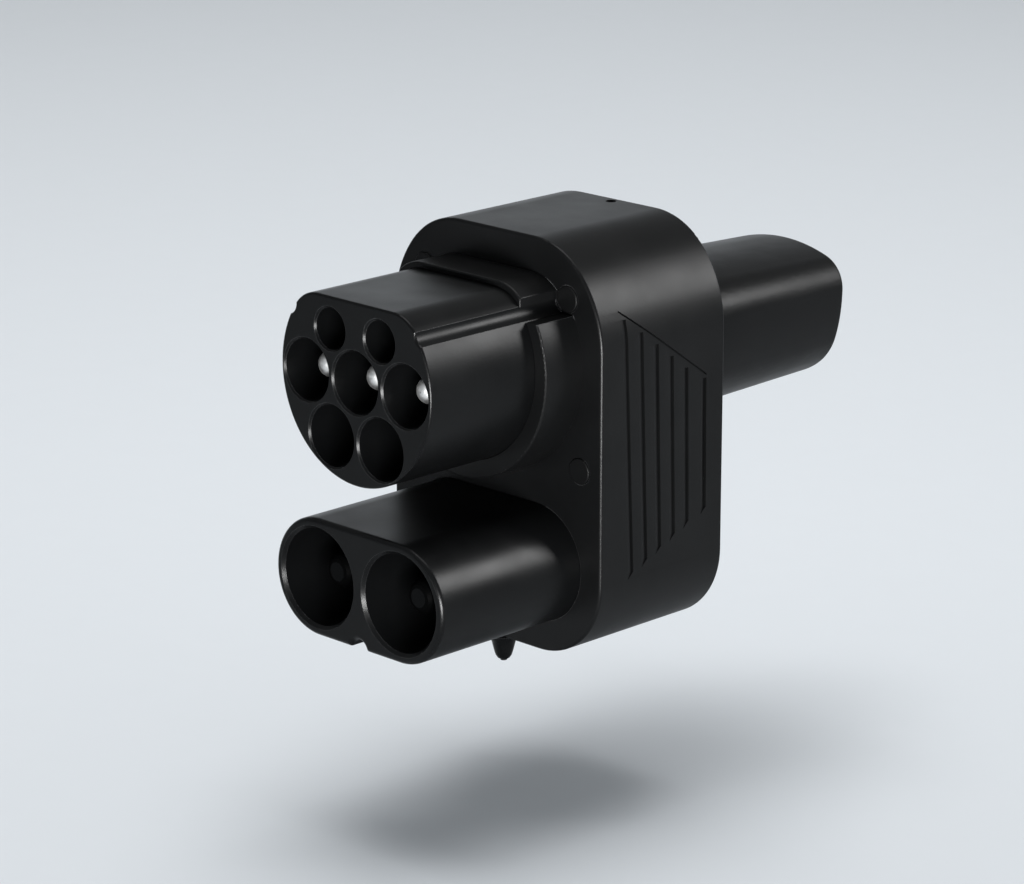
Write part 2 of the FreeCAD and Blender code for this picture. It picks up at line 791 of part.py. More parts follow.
def contact_retainer():
    """Plate that traps all pins from behind, screwed to the body's bosses."""
    plate = prism(body_outline(side_wall + retainer_gap), insert_back_y, retainer_back_y)
    y0 = insert_back_y - 1
    y1 = retainer_back_y + 1
    holes = [rod(spot, pillar_radius + retainer_gap, y0, y1) for spot in screw_spots]
    holes += [rod(spot, power_tail_radius + contact_gap, y0, y1) for spot in power_spots]
    holes += [rod(spot, signal_tail_radius + contact_gap, y0, y1) for spot in signal_spots]
    holes += [rod(spot, dc_tail_radius + contact_gap, y0, y1) for spot in dc_spots]
    holes += [rod(spot, small_screw_radius + screw_gap, y0, y1) for spot in boss_spots + dc_screw_spots]
    return plate.cut(holes)


def power_socket_spot(side):
    """Place of a power socket, near the plug's widest point: side is -1 or 1."""
    reach = plug_wall + power_socket_margin + power_bore_radius + power_socket_wall
    return (side * (plug_half - reach), plug_wide_z - power_socket_drop)


def earth_socket_spot():
    """Place of the earth socket, above the plug's underside."""
    collar_radius = earth_bore_radius + earth_socket_wall + socket_collar_step
    return (0.0, plug_low(plug_wall) + earth_socket_margin + collar_radius)


def signal_socket_spot(side):
    """Place of a signal socket, half way between the earth socket and the plug's side: side is -1 or 1."""
    z = earth_socket_spot()[1] + signal_socket_rise
    inner = plug_side_radius - plug_wall
    shell_x = plug_half - plug_side_radius + math.sqrt(inner ** 2 - (plug_wide_z - z) ** 2)
    earth_x = earth_bore_radius + earth_socket_wall + socket_collar_step
    return (side * (shell_x + earth_x) / 2, z)


def plate_screw_spot():
    """Place of the screw that holds the socket plate, above the power sockets."""
    return (0.0, (power_socket_spot(1)[1] + plug_top - plug_wall) / 2)


def dc_bar(side, spot):
    """Copper bar from a thick pin's stud up to a power socket's stud."""
    top = power_socket_spot(side)
    bar = prism(strap_outline(spot, bar_bottom_radius, top, bar_top_radius), bar_front_y, bar_back_y)
    return bar.cut([rod(spot, dc_stud_radius + contact_gap, bar_front_y - 1, bar_back_y + 1),
                    rod(top, socket_stud_radius + contact_gap, bar_front_y - 1, bar_back_y + 1)])


def busbar_negative():
    """Left copper bar."""
    return dc_bar(-1, dc_spots[0])


def busbar_positive():
    """Right copper bar."""
    return dc_bar(1, dc_spots[1])


def power_link(side, spot):
    """Flat link from a pin of the middle row to the power socket's stud, against the bar."""
    inner = power_socket_spot(side)
    plate = prism(strap_outline(inner, link_radius, spot, link_radius), bar_link_front_y, bar_front_y)
    return plate.cut([rod(inner, socket_stud_radius + contact_gap, bar_link_front_y - 1, bar_front_y + 1),
                      rod(spot, power_tail_radius + contact_gap / 2, bar_link_front_y - 1, bar_front_y + 1)])


def neutral_link():
    """Link of the left pin."""
    return power_link(-1, power_spots[0])


def line_link():
    """Link of the right pin."""
    return power_link(1, power_spots[2])


def earth_link():
    """Flat link from the middle pin down to the earth socket's tail."""
    low = earth_socket_spot()
    high = power_spots[1]
    y0 = retainer_back_y + earth_link_stand_off
    y1 = y0 + link_thickness
    plate = prism(strap_outline(low, earth_link_radius, high, earth_link_radius), y0, y1)
    return plate.cut([rod(low, earth_tail_radius + contact_gap / 2, y0 - 1, y1 + 1),
                      rod(high, power_tail_radius + contact_gap / 2, y0 - 1, y1 + 1)])


def bar_nuts():
    """Nuts that clamp the two bars: two on the pins' studs, two on the sockets' studs."""
    nuts = []
    for spot in dc_spots:
        nut = prism(hex_outline(spot, dc_nut_across), bar_back_y, bar_back_y + dc_nut_height)
        nuts.append(nut.cut(rod(spot, dc_stud_radius + contact_gap / 2, bar_back_y - 1, far)))
    for side in (-1, 1):
        spot = power_socket_spot(side)
        y0 = bar_link_front_y - socket_nut_height
        nut = prism(hex_outline(spot, socket_nut_across), y0, bar_link_front_y)
        nuts.append(nut.cut(rod(spot, socket_stud_radius + contact_gap / 2, y0 - 1, bar_link_front_y + 1)))
    return Part.makeCompound(nuts)


def socket(place, tail, steps, slots):
    """Contact socket: slotted tube with a blind bore, a trapped collar, a tail and what follows it."""
    spot, bore, wall, collar_step = place
    outer = bore + wall
    mouth_y = carrier_end_y - contact_gap
    collar_end_y = plug_flange_y + socket_collar_length
    points = [(mouth_y - socket_bore_depth, 0), (mouth_y - socket_bore_depth, bore), (mouth_y - 0.5, bore),
              (mouth_y, bore + 0.4), (mouth_y, outer), (collar_end_y, outer),
              (collar_end_y, outer + collar_step), (plug_flange_y, outer + collar_step),
              (plug_flange_y, tail)] + steps
    body = turned(spot, points)
    slot_y = mouth_y - socket_slot_length
    reach = 2 * outer
    cuts = []
    for half_x, half_z in slots:
        cuts.append(slab(spot[0] - (half_x or reach), spot[0] + (half_x or reach), slot_y, far,
                         spot[1] - (half_z or reach), spot[1] + (half_z or reach)))
    return body.cut(cuts)


def power_socket_place(side):
    """Spot, bore, wall and collar step of a power socket."""
    return (power_socket_spot(side), power_bore_radius, power_socket_wall, socket_collar_step)


def earth_socket_place():
    """Spot, bore, wall and collar step of the earth socket."""
    return (earth_socket_spot(), earth_bore_radius, earth_socket_wall, socket_collar_step)


def signal_socket_place(side):
    """Spot, bore, wall and collar step of a signal socket."""
    return (signal_socket_spot(side), signal_bore_radius, signal_socket_wall, signal_collar_step)


def socket_places():
    """The five sockets' places."""
    return [power_socket_place(-1), power_socket_place(1), earth_socket_place(),
            signal_socket_place(-1), signal_socket_place(1)]


def power_socket(side):
    """Power socket with a shoulder against the bar and a stud through bar and link."""
    stud_y = bar_link_front_y - socket_nut_height - 0.6
    steps = [(bar_back_y, socket_tail_radius), (bar_back_y, socket_stud_radius), (stud_y, socket_stud_radius),
             (stud_y, 0)]
    slots = [(0, socket_slot / 2), (socket_slot / 2, 0)]
    return socket(power_socket_place(side), socket_tail_radius, steps, slots)


def power_socket_negative():
    """Left power socket."""
    return power_socket(-1)


def power_socket_positive():
    """Right power socket."""
    return power_socket(1)


def earth_socket():
    """Earth socket, whose tail reaches the earth link."""
    tail_y = retainer_back_y + earth_link_stand_off
    steps = [(tail_y, earth_tail_radius), (tail_y, 0)]
    slots = [(0, socket_slot / 2), (socket_slot / 2, 0)]
    return socket(earth_socket_place(), earth_tail_radius, steps, slots)


def signal_socket(side):
    """Signal socket, whose tail reaches the board."""
    steps = [(board_front_y, signal_tail_radius), (board_front_y, 0)]
    slots = [(0, signal_socket_slot / 2)]
    return socket(signal_socket_place(side), signal_tail_radius, steps, slots)


def pilot_socket():
    """Left signal socket."""
    return signal_socket(-1)


def proximity_socket():
    """Right signal socket."""
    return signal_socket(1)


def vehicle_plug_shell():
    """Shell of the car's plug: tapering shield, closed end with five holes, flange behind the cover."""
    root = Part.Wire(plug_outline(-plug_draft, plug_rise))
    end = Part.Wire(plug_outline(0))
    end.translate(V(0, plug_end_y, 0))
    shell = Part.makeLoft([root, end], True, True)
    shell = shell.makeFillet(plug_edge_radius, edges_at(shell, plug_end_y))
    shell = shell.fuse(prism(plug_outline(-plug_draft, plug_rise), plug_flange_y, 0))
    flange = prism(plug_outline(-plug_draft - plug_flange_grow, plug_rise), plug_flange_y, cover_inner_y)
    shell = shell.fuse(flange)
    y0 = cover_inner_y + (cover_thickness - ring_width) / 2
    y1 = y0 + ring_width
    groove = prism(plug_outline(-plug_draft - 1, plug_rise), y0, y1)
    holes = [groove.cut(prism(plug_outline(ring_depth - plug_draft, plug_rise), y0, y1)),
             prism(plug_outline(plug_wall), plug_flange_y - 1, carrier_end_y)]
    for spot, bore, wall, collar_step in socket_places():
        holes.append(rod(spot, bore + mouth_clearance, carrier_end_y - 1, plug_end_y + 1))
    for spot in plug_screw_spots():
        holes.append(rod(spot, small_screw_radius + screw_gap, plug_flange_y - 1, cover_inner_y))
    half = lock_slot_width / 2
    holes.append(slab(-half, half, lock_slot_start, lock_slot_start + lock_slot_length,
                      plug_top - lock_slot_depth, far))
    return shell.cut(holes)


def plug_seal():
    """Rubber ring in the groove of the plug shell, which closes the gap to the cover."""
    y = cover_inner_y + (cover_thickness - ring_width) / 2
    ring = prism(plug_outline(-plug_draft - cover_gap, plug_rise), y, y + ring_width)
    return ring.cut(prism(plug_outline(ring_depth - plug_draft, plug_rise), y - 1, y + ring_width + 1))


def contact_carrier():
    """Insulating block that fills the plug shell and holds the five sockets."""
    block = prism(plug_outline(plug_wall + contact_gap), plug_flange_y, carrier_end_y)
    collar_end_y = plug_flange_y + socket_collar_length
    holes = []
    for spot, bore, wall, collar_step in socket_places():
        outer = bore + wall + contact_gap
        holes.append(rod(spot, outer, plug_flange_y - 1, carrier_end_y + 1))
        holes.append(rod(spot, outer + collar_step, plug_flange_y - 1, collar_end_y))
    screw_end_y = plug_flange_y + small_screw_bite
    holes.append(rod(plate_screw_spot(), small_screw_radius, plug_flange_y - 1, screw_end_y))
    return block.cut(holes)


def socket_plate():
    """Plate that traps the sockets' collars in the carrier."""
    plate = prism(plug_outline(plug_wall + contact_gap), socket_plate_y, plug_flange_y)
    tails = [(power_socket_spot(-1), socket_tail_radius), (power_socket_spot(1), socket_tail_radius),
             (earth_socket_spot(), earth_tail_radius), (signal_socket_spot(-1), signal_tail_radius),
             (signal_socket_spot(1), signal_tail_radius), (plate_screw_spot(), small_screw_radius)]
    return plate.cut([rod(spot, radius + contact_gap, socket_plate_y - 1, plug_flange_y + 1)
                      for spot, radius in tails])


def signal_board():
    """Small circuit board that links the signal pins to the signal sockets, with three chips."""
    y0 = board_front_y
    y1 = y0 + board_thickness
    low = signal_socket_spot(1)[1] - board_margin
    high = centre_height + signal_rise + board_margin
    board = slab(-board_half_width, board_half_width, y0, y1, low, high)
    clearance = socket_tail_radius + board_hole_gap
    holes = [rod(power_socket_spot(side), clearance, y0 - 1, y1 + 1) for side in (-1, 1)]
    holes.append(rod(earth_socket_spot(), earth_tail_radius + board_hole_gap, y0 - 1, y1 + 1))
    tails = signal_spots + [signal_socket_spot(-1), signal_socket_spot(1)]
    holes += [rod(spot, signal_tail_radius + contact_gap / 2, y0 - 1, y1 + 1) for spot in tails]
    board = board.cut(holes)
    chip_z = centre_height + signal_rise - board_margin
    for x in (-3.6, 0.0, 3.6):
        board = board.fuse(slab(x - 1.1, x + 1.1, y1, y1 + chip_height, chip_z, chip_z + 3.0))
    return board


def headed_screw(spot, head_y, head, height, shaft, end_y):
    """Screw along Y: a round head in front of head_y or behind it, and a shaft to end_y."""
    way = 1 if end_y > head_y else -1
    head_low = min(head_y, head_y - way * height)
    top = rod(spot, head, head_low, head_low + height)
    return top.fuse(rod(spot, shaft, min(head_y, end_y), max(head_y, end_y)))


def housing_screws():
    """Four long screws from the front wall into the rear cover's bosses."""
    head_y = front_y + screw_plug_depth + screw_head_height
    end_y = cover_inner_y - boss_length + screw_bite - 0.5
    return Part.makeCompound([headed_screw(spot, head_y, screw_head_radius, screw_head_height,
                                           screw_radius, end_y)
                              for spot in screw_spots])


def screw_plugs():
    """Four round plugs that hide the long screws and stand a little proud of the front wall."""
    plugs = []
    for spot in screw_spots:
        plug = rod(spot, screw_plug_radius, front_y - screw_plug_proud, front_y + screw_plug_depth)
        plugs.append(plug.makeFillet(screw_plug_edge, edges_at(plug, front_y - screw_plug_proud)))
    return Part.makeCompound(plugs)


def retainer_screws():
    """Small screws that hold the retainer to the body's bosses and to the direct current block."""
    end_y = insert_back_y + retainer_thickness - small_screw_bite + 0.5
    return Part.makeCompound([headed_screw(spot, retainer_back_y, small_head_radius, small_head_height,
                                           small_screw_radius, end_y)
                              for spot in boss_spots + dc_screw_spots])


def plug_screw_spots():
    """Places of the screws through the plug's flange: left, right, top and bottom."""
    reach = plug_draft + plug_flange_grow / 2 + small_screw_radius / 2
    side = plug_half + reach
    return [(-side, plug_wide_z + plug_rise), (side, plug_wide_z + plug_rise),
            (0.0, plug_top + plug_rise + reach), (0.0, plug_low(-reach) + plug_rise)]


def plug_screws():
    """Small screws that hold the plug shell to the cover, and one that holds the socket plate."""
    end_y = cover_inner_y + cover_thickness / 2 - 0.5
    screws = [headed_screw(spot, plug_flange_y, small_head_radius, small_head_height,
                           small_screw_radius, end_y)
              for spot in plug_screw_spots()]
    screws.append(headed_screw(plate_screw_spot(), socket_plate_y, small_head_radius, small_head_height,
                               small_screw_radius, plug_flange_y + small_screw_bite - 0.5))
    return Part.makeCompound(screws)


def drain_spout():
    """Tapering spout under the front wall, with a bore and a peg in the body."""
    y = front_y + spout_setback
    z = body_bottom
    tip = spout_tip_radius
    slope = [(spout_root_radius + 0.7, z), (spout_root_radius, z - 0.6), (spout_root_radius - 0.6, z - 1.9),
             (tip + 0.1, z - spout_length + tip)]
    dome = [on_circle((0, z - spout_length + tip), tip, -degrees) for degrees in (22, 45, 68)]
    peg_z = z + spout_peg_length
    points = [(spout_bore, peg_z), (spout_peg_radius, peg_z), (spout_peg_radius, z)]
    points += slope + dome + [(spout_bore, z - spout_length)]
    corners = [V(radius, y, height) for radius, height in points]
    face = Part.Face(Part.makePolygon(corners + [corners[0]]))
    return face.revolve(V(0, y, 0), V(0, 0, 1), 360)


def cover_lock_screw():
    """Grub screw in the small hole on top, which bites in the rear cover's edge."""
    low = body_top - rear_rim - cover_gap - lock_dimple
    height = body_top - lock_recess - low
    return Part.makeCylinder(lock_hole_radius - screw_gap / 2, height, V(0, -lock_setback, low))


pieces = [main_housing, rear_cover, cover_seal, seven_well_insert, seven_pin_block, insert_seal,
          dc_well_insert, dc_pin_block, dc_seal, contact_retainer, neutral_pin, earth_pin, line_pin,
          pilot_pin, proximity_pin, dc_pin_negative, dc_pin_positive, dc_tip_cap_negative,
          dc_tip_cap_positive, busbar_negative, busbar_positive, neutral_link, line_link, earth_link,
          bar_nuts, power_socket_negative, power_socket_positive, earth_socket, pilot_socket,
          proximity_socket, vehicle_plug_shell, plug_seal, contact_carrier, socket_plate, signal_board,
          housing_screws, screw_plugs, retainer_screws, plug_screws, drain_spout, cover_lock_screw]

os.makedirs("parts", exist_ok=True)
for piece in pieces:
    shape = piece()
    shape.exportStep("parts/" + piece.__name__ + ".step")
    print(piece.__name__, len(shape.Solids), "solids", round(shape.Volume, 1), "mm3", shape.isValid())
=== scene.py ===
import math

import bmesh
import bpy
from bpy.props import FloatProperty, FloatVectorProperty, PointerProperty
from bpy.types import Operator, Panel, PropertyGroup
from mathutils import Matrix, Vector


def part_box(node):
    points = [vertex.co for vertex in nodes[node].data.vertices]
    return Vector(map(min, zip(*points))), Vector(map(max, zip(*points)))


bl_info = {
    "name": "Charging adapter",
    "version": (1, 0, 0),
    "blender": (4, 5, 0),
    "location": "3D view > Sidebar > Adapter",
    "description": "Dresses the charging adapter and sets it in a pale studio",
    "category": "Object",
}

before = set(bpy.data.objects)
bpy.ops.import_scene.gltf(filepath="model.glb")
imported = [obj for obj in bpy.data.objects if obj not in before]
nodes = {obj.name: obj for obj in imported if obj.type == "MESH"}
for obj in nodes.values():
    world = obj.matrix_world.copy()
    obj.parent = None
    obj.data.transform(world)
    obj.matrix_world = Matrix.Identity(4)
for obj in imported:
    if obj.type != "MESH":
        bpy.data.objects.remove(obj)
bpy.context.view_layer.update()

MM = 0.001

BODY = ["main_housing", "rear_cover"]
SCREW_PLUGS = ["screw_plugs"]
NOSE = ["seven_well_insert", "seven_pin_block"]
DC_BLOCK = ["dc_well_insert", "dc_pin_block", "drain_spout"]
PLUG = ["vehicle_plug_shell"]
PINS = ["neutral_pin", "earth_pin", "line_pin", "pilot_pin", "proximity_pin", "dc_pin_negative", "dc_pin_positive"]
SOCKETS = ["power_socket_negative", "power_socket_positive", "earth_socket", "pilot_socket", "proximity_socket"]
TIP_CAPS = ["dc_tip_cap_negative", "dc_tip_cap_positive"]
COPPER = ["busbar_negative", "busbar_positive", "neutral_link", "line_link", "earth_link"]
INNER_PLASTIC = ["contact_retainer", "contact_carrier", "socket_plate"]
RUBBER = ["cover_seal", "insert_seal", "dc_seal", "plug_seal"]
STEEL = ["housing_screws", "retainer_screws", "plug_screws", "bar_nuts"]
LOCK_SCREW = ["cover_lock_screw"]
BOARD = ["signal_board"]

BODY_FRONT = -40.9 * MM
BODY_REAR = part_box("rear_cover")[1].y
RIM_BAND = 0.8 * MM
COLLAR_REACH = 31.5 * MM
PIN_BLOCK_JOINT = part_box("seven_pin_block")[0].y
JOINT_BAND = 0.7 * MM
TIP_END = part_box(TIP_CAPS[0])[0].y
TIP_END_BAND = 0.05 * MM


class AdapterFinish(PropertyGroup):
    """Colours and grain of the adapter's surfaces."""

    body_colour: FloatVectorProperty(
        name="Body colour", description="Black of the body moulding", subtype="COLOR", size=3,
        min=0.0, max=1.0, default=(0.0019, 0.0020, 0.0021))
    insert_colour: FloatVectorProperty(
        name="Insert colour", description="Black of the wells and of the car's plug", subtype="COLOR", size=3,
        min=0.0, max=1.0, default=(0.0013, 0.0014, 0.0015))
    silver_colour: FloatVectorProperty(
        name="Contact colour", description="Silver plating of the pins", subtype="COLOR", size=3,
        min=0.0, max=1.0, default=(0.74, 0.74, 0.73))
    copper_colour: FloatVectorProperty(
        name="Copper colour", description="Bare copper of the bars and links", subtype="COLOR", size=3,
        min=0.0, max=1.0, default=(0.80, 0.42, 0.27))
    plastic_roughness: FloatProperty(
        name="Plastic roughness", description="Mean roughness of the moulded surfaces", default=0.38, min=0.0, max=1.0)
    plastic_shine: FloatProperty(
        name="Plastic shine", description="Mirror share of the moulded surfaces", default=0.10, min=0.0, max=1.0)
    grain_size: FloatProperty(
        name="Grain size", description="Width of one grain of the moulding texture", unit="LENGTH",
        default=0.32 * MM, min=0.05 * MM, max=3 * MM, precision=5)
    grain_depth: FloatProperty(
        name="Grain depth", description="Height of the moulding texture", unit="LENGTH",
        default=0.008 * MM, min=0.0, max=MM, precision=6)
    edge_round: FloatProperty(
        name="Edge rounding", description="Radius that softens the sharp moulded edges", unit="LENGTH",
        default=0.26 * MM, min=0.0, max=MM, precision=5)
    # Colour of the painted highlight laid along the rounded edges of the mouldings.
    painted_edge_highlight_colour: FloatVectorProperty(
        name="Edge highlight colour", description="Grey of the painted highlight along the edges", subtype="COLOR", size=3,
        min=0.0, max=1.0, default=(0.020, 0.0205, 0.021))


class AdapterStudio(PropertyGroup):
    """Camera, floor and lamps."""

    view_azimuth: FloatProperty(
        name="Azimuth", description="Turn of the camera round the adapter", subtype="ANGLE",
        default=math.radians(44.93))
    view_elevation: FloatProperty(
        name="Elevation", description="Camera's angle above the horizon", subtype="ANGLE",
        default=math.radians(16.31))
    camera_place: FloatVectorProperty(
        name="Camera place", description="Where the camera stands", subtype="TRANSLATION", size=3,
        default=(0.5995, -0.6364, 0.2323))
    lens: FloatProperty(
        name="Lens", description="Focal length", unit="CAMERA", default=133.96, min=10.0, max=500.0)
    floor_height: FloatProperty(
        name="Floor height", description="Height of the floor below the plug's axis", unit="LENGTH",
        default=-0.104)
    floor_colour: FloatVectorProperty(
        name="Floor colour", description="Pale grey of the floor and backdrop", subtype="COLOR", size=3,
        min=0.0, max=1.0, default=(0.72, 0.75, 0.78))
    top_power: FloatProperty(
        name="Top lamp", description="Power of the softbox overhead", default=32.0, min=0.0)
    key_power: FloatProperty(
        name="Key lamp", description="Power of the softbox behind on the right", default=38.0, min=0.0)
    wall_power: FloatProperty(
        name="Backdrop lamp", description="Power of the lamp that lights the backdrop behind", default=27.0, min=0.0)
    rim_power: FloatProperty(
        name="Rim lamp", description="Power of the low softbox below the camera", default=6.2, min=0.0)
    fill_power: FloatProperty(
        name="Fill lamp", description="Power of the softbox in front of the wells", default=1.9, min=0.0)
    sky_strength: FloatProperty(
        name="Surround", description="Strength of the even light from above", default=0.38, min=0.0)


def new_material(name):
    """Empty node material with its shader and a socket for the surface's place."""
    material = bpy.data.materials.new(name)
    material.use_nodes = True
    tree = material.node_tree
    tree.nodes.clear()
    output = tree.nodes.new("ShaderNodeOutputMaterial")
    shader = tree.nodes.new("ShaderNodeBsdfPrincipled")
    place = tree.nodes.new("ShaderNodeTexCoord").outputs["Object"]
    tree.links.new(shader.outputs["BSDF"], output.inputs["Surface"])
    return material, tree, shader, place


def stretched(tree, place, scale, turn=(0.0, 0.0, 0.0)):
    """The surface's place, scaled and turned for a texture."""
    mapping = tree.nodes.new("ShaderNodeMapping")
    mapping.inputs["Scale"].default_value = scale
    mapping.inputs["Rotation"].default_value = turn
    tree.links.new(place, mapping.inputs["Vector"])
    return mapping.outputs["Vector"]


def noise(tree, place, size, detail=2.0, roughness=0.5):
    """Soft noise whose patches are about one size across."""
    node = tree.nodes.new("ShaderNodeTexNoise")
    node.inputs["Scale"].default_value = 1.0 / size
    node.inputs["Detail"].default_value = detail
    node.inputs["Roughness"].default_value = roughness
    tree.links.new(place, node.inputs["Vector"])
    return node.outputs["Fac"]


def remap(tree, value, low, high, to_low, to_high):
    """Value stretched from one range to another."""
    node = tree.nodes.new("ShaderNodeMapRange")
    node.inputs["From Min"].default_value = low
    node.inputs["From Max"].default_value = high
    node.inputs["To Min"].default_value = to_low
    node.inputs["To Max"].default_value = to_high
    tree.links.new(value, node.inputs["Value"])
    return node.outputs["Result"]


def shades(tree, value, dark, light):
    """Colour between two shades, by a value from 0 to 1."""
    node = tree.nodes.new("ShaderNodeMix")
    node.data_type = "RGBA"
    node.inputs["A"].default_value = (*dark, 1.0)
    node.inputs["B"].default_value = (*light, 1.0)
    tree.links.new(value, node.inputs["Factor"])
    return node.outputs["Result"]


def over(tree, value, under, colour):
    """One colour laid over another, by a value from 0 to 1."""
    node = tree.nodes.new("ShaderNodeMix")
    node.data_type = "RGBA"
    tree.links.new(under, node.inputs["A"])
    node.inputs["B"].default_value = (*colour, 1.0)
    tree.links.new(value, node.inputs["Factor"])
    return node.outputs["Result"]


def added(tree, a, b, share):
    """One value plus a share of another."""
    node = tree.nodes.new("ShaderNodeMath")
    node.operation = "MULTIPLY_ADD"
    node.inputs[1].default_value = share
    tree.links.new(b, node.inputs[0])
    tree.links.new(a, node.inputs[2])
    return node.outputs["Value"]


def product(tree, a, b):
    """One value times another."""
    node = tree.nodes.new("ShaderNodeMath")
    node.operation = "MULTIPLY"
    tree.links.new(a, node.inputs[0])
    tree.links.new(b, node.inputs[1])
    return node.outputs["Value"]


def math_step(tree, operation, a, b=0.0):
    """One math node on a value and a number."""
    node = tree.nodes.new("ShaderNodeMath")
    node.operation = operation
    node.inputs[1].default_value = b
    tree.links.new(a, node.inputs[0])
    return node.outputs["Value"]


def depth_along(tree, place):
    """Place along the adapter's length: low at the charger's side, high at the car's."""
    parts = tree.nodes.new("ShaderNodeSeparateXYZ")
    tree.links.new(place, parts.inputs["Vector"])
    return parts.outputs["Y"]


def away_from(tree, place, depth, reach):
    """1 where the surface is further than a reach from one depth along the adapter."""
    gap = math_step(tree, "ABSOLUTE", math_step(tree, "SUBTRACT", depth_along(tree, place), depth))
    return math_step(tree, "GREATER_THAN", gap, reach)


def off_the_joint(tree, place):
    """1 everywhere except along the tight joint between the wells and the pin blocks."""
    return away_from(tree, place, PIN_BLOCK_JOINT, JOINT_BAND)


def body_rims(tree, place):
    """1 along the body's front and rear rims, 0 on its grip steps and on the collar."""
    middle = (BODY_FRONT + BODY_REAR) / 2
    radial = tree.nodes.new("ShaderNodeVectorMath")
    radial.operation = "LENGTH"
    tree.links.new(stretched(tree, place, (1.0, 0.0, 1.0)), radial.inputs[0])
    return product(tree, away_from(tree, place, middle, middle - BODY_FRONT - RIM_BAND),
                   math_step(tree, "GREATER_THAN", radial.outputs["Value"], COLLAR_REACH))


def rounded_edges(tree, radius, mask=None):
    """Surface direction with its sharp edges rounded by a small radius, where a mask is 1."""
    bevel = tree.nodes.new("ShaderNodeBevel")
    bevel.samples = 6
    bevel.inputs["Radius"].default_value = radius
    if mask is not None:
        tree.links.new(math_step(tree, "MULTIPLY", mask, radius), bevel.inputs["Radius"])
    return bevel.outputs["Normal"]


def edge_highlight_and_polish_mask(tree, rounded):
    """Value that rises from 0 on open surfaces to 1 on the rounded edges, where the colour gets its painted highlight
    and the roughness drops.
    """
    flat_match = 0.985
    edge_match = 0.82
    surface = tree.nodes.new("ShaderNodeNewGeometry")
    match = tree.nodes.new("ShaderNodeVectorMath")
    match.operation = "DOT_PRODUCT"
    tree.links.new(rounded, match.inputs[0])
    tree.links.new(surface.outputs["Normal"], match.inputs[1])
    return remap(tree, match.outputs["Value"], flat_match, edge_match, 0.0, 1.0)


def sloped_rims(tree):
    """Value that rises to 1 on chamfers and rounded rims, between the front faces and the sides."""
    surface = tree.nodes.new("ShaderNodeNewGeometry")
    parts = tree.nodes.new("ShaderNodeSeparateXYZ")
    tree.links.new(surface.outputs["Normal"], parts.inputs["Vector"])
    facing = math_step(tree, "ABSOLUTE", parts.outputs["Y"])
    off_the_sides = remap(tree, facing, 0.25, 0.45, 0.0, 1.0)
    off_the_fronts = remap(tree, facing, 0.98, 0.90, 0.0, 1.0)
    return product(tree, off_the_sides, off_the_fronts)


def relief(tree, shader, height, depth, base=None):
    """Bump of one depth on the shader, over a given surface direction."""
    bump = tree.nodes.new("ShaderNodeBump")
    bump.inputs["Strength"].default_value = 1.0
    bump.inputs["Distance"].default_value = depth
    tree.links.new(height, bump.inputs["Height"])
    if base is not None:
        tree.links.new(base, bump.inputs["Normal"])
    tree.links.new(bump.outputs["Normal"], shader.inputs["Normal"])


def moulded_plastic(name, colour, finish, roughness=0.0, grain=1.0, rounding=1.0, edge_highlight_gain=1.0, mask=None):
    """Black moulded plastic: spark-eroded grain, faint flow clouds, and edges polished by use to a lower roughness,
    with a painted highlight that pales their colour.

    A mask keeps the rounding, and with it the painted edge highlight, to the places where it is 1, and polishes the
    sloped rims there.
    """
    cloud_size = 14 * MM
    uneven = 0.035
    polish_drop = 0.17
    material, tree, shader, place = new_material(name)
    clouds = noise(tree, place, cloud_size, 3.0)
    fine = noise(tree, place, finish.grain_size * grain, 2.0, 0.6)
    coarse = noise(tree, place, finish.grain_size * grain * 3.1, 1.0)
    shown = mask(tree, place) if mask else None
    rounded = rounded_edges(tree, finish.edge_round * rounding, shown)
    edge_highlight_and_polish = product(tree, edge_highlight_and_polish_mask(tree, rounded), remap(tree, clouds, 0.35, 0.60, 0.6, 1.0))
    dark = [c * 0.86 for c in colour]
    light = [c * 1.08 for c in colour]
    mottled = remap(tree, added(tree, clouds, fine, 0.25), 0.40, 0.85, 0.0, 1.0)
    # The rounded edges are laid over with a paler grey: a painted highlight along them.
    tree.links.new(over(tree, edge_highlight_and_polish, shades(tree, mottled, dark, light), [c * edge_highlight_gain for c in finish.painted_edge_highlight_colour]),
                   shader.inputs["Base Color"])
    mean = finish.plastic_roughness + roughness
    rough = added(tree, remap(tree, clouds, 0.3, 0.7, mean - uneven, mean + uneven), fine, 0.03)
    polish = added(tree, edge_highlight_and_polish, product(tree, sloped_rims(tree), shown), 0.5) if mask else edge_highlight_and_polish
    tree.links.new(added(tree, rough, polish, -polish_drop), shader.inputs["Roughness"])
    shader.inputs["IOR"].default_value = 1.50
    shader.inputs["Specular IOR Level"].default_value = finish.plastic_shine
    relief(tree, shader, added(tree, fine, coarse, 0.8), finish.grain_depth, rounded)
    return material


def tip_plastic(name, colour, finish):
    """Near-black plastic of the pins' tip caps, with painted light: the small flat end is painted paler as a
    highlight, and the dome darker as painted shade.
    """
    material, tree, shader, place = new_material(name)
    fine = noise(tree, place, finish.grain_size * 0.6, 2.0)
    # Painted light: the dome is painted darker as shade, and the flat end paler as a highlight.
    painted_end_highlight = math_step(tree, "LESS_THAN", depth_along(tree, place), TIP_END + TIP_END_BAND)
    tone = shades(tree, fine, [c * 0.3 for c in colour], [c * 0.5 for c in colour])
    tree.links.new(over(tree, painted_end_highlight, tone, [c * 1.4 for c in colour]), shader.inputs["Base Color"])
    tree.links.new(remap(tree, fine, 0.3, 0.7, 0.50, 0.60), shader.inputs["Roughness"])
    shader.inputs["IOR"].default_value = 1.50
    shader.inputs["Specular IOR Level"].default_value = 0.01
    relief(tree, shader, fine, finish.grain_depth)
    return material


